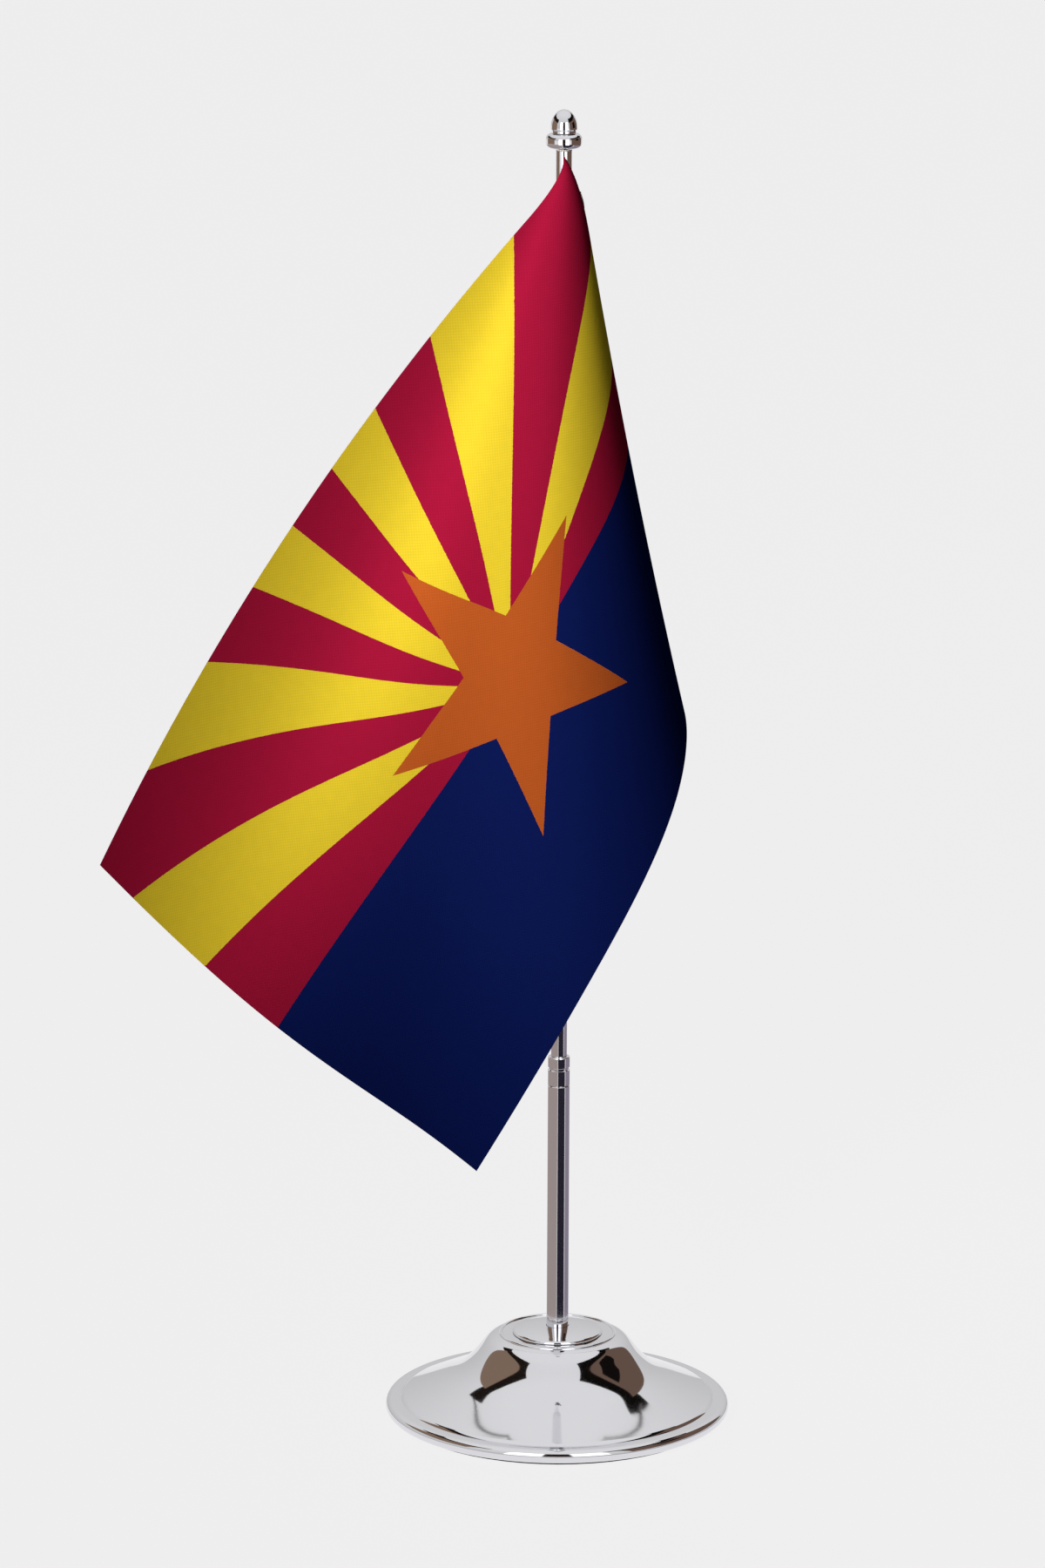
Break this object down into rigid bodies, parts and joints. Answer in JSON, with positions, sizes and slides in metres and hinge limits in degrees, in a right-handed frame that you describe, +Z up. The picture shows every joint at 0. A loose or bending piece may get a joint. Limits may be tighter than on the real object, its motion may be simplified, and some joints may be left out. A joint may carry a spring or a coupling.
{
  "type": "desk flag stand",
  "caption": "Small table flag stand: chromed bell base, telescopic pole with an acorn finial, and a printed satin flag hanging in folds.",
  "frame": {"origin": "centre of the foot pad's underside, on the pole's axis", "axes": "+Z up along the pole, -Y towards the viewer's front, the flag hangs towards -X"},
  "size_m": [0.1556, 0.0929, 0.3274],
  "materials": {
    "chrome": "polished chrome plate",
    "zinc": "zinc plated",
    "cast_iron": "as cast, painted black",
    "brass": "turned",
    "felt": "wool felt",
    "nylon": "natural nylon",
    "rubber": "matt",
    "satin": "printed polyester satin"
  },
  "bodies": {
    "stand": {"base_shell": "chrome", "base_weight": "cast_iron", "base_plate": "zinc", "foot_pad": "felt", "clamp_screw": "zinc", "flat_washer": "zinc", "lock_washer": "zinc", "pole_escutcheon": "chrome", "lower_tube": "chrome", "lower_tube_insert": "brass", "mouth_ferrule": "chrome"},
    "sliding_bush": {"friction_bush": "brass"},
    "upper_section": {"upper_tube": "chrome", "upper_tube_plug": "brass", "top_insert": "brass", "sleeve_stop_ring": "rubber"},
    "flag": {"flag_panel": "satin", "hoist_sleeve": "satin"},
    "washer": {"finial_washer": "nylon"},
    "finial": {"finial_acorn": "chrome", "finial_collar": "chrome", "finial_stud": "zinc"}
  },
  "joints": [
    {"name": "pole_slide", "type": "slide", "parent": "stand", "child": "sliding_bush", "axis": [0, 0, 1], "range_m": [-0.046, 0]},
    {"name": "pole_swivel", "type": "hinge", "parent": "sliding_bush", "child": "upper_section", "pos_m": [0, 0, 0.0764], "axis": [0, 0, 1], "continuous": true},
    {"name": "flag_swivel", "type": "hinge", "parent": "upper_section", "child": "flag", "pos_m": [0, 0, 0.243], "axis": [0, 0, 1], "continuous": true},
    {"name": "finial_lift", "type": "slide", "parent": "upper_section", "child": "washer", "axis": [0, 0, 1], "range_m": [0, 0.0064]},
    {"name": "finial_turn", "type": "hinge", "parent": "washer", "child": "finial", "pos_m": [0, 0, 0.3179], "axis": [0, 0, 1], "range_deg": [0, 5760]}
  ],
  "couplings": [
    {"joint": "finial_turn", "follows": "finial_lift", "rad_per_m": 15708}
  ]
}
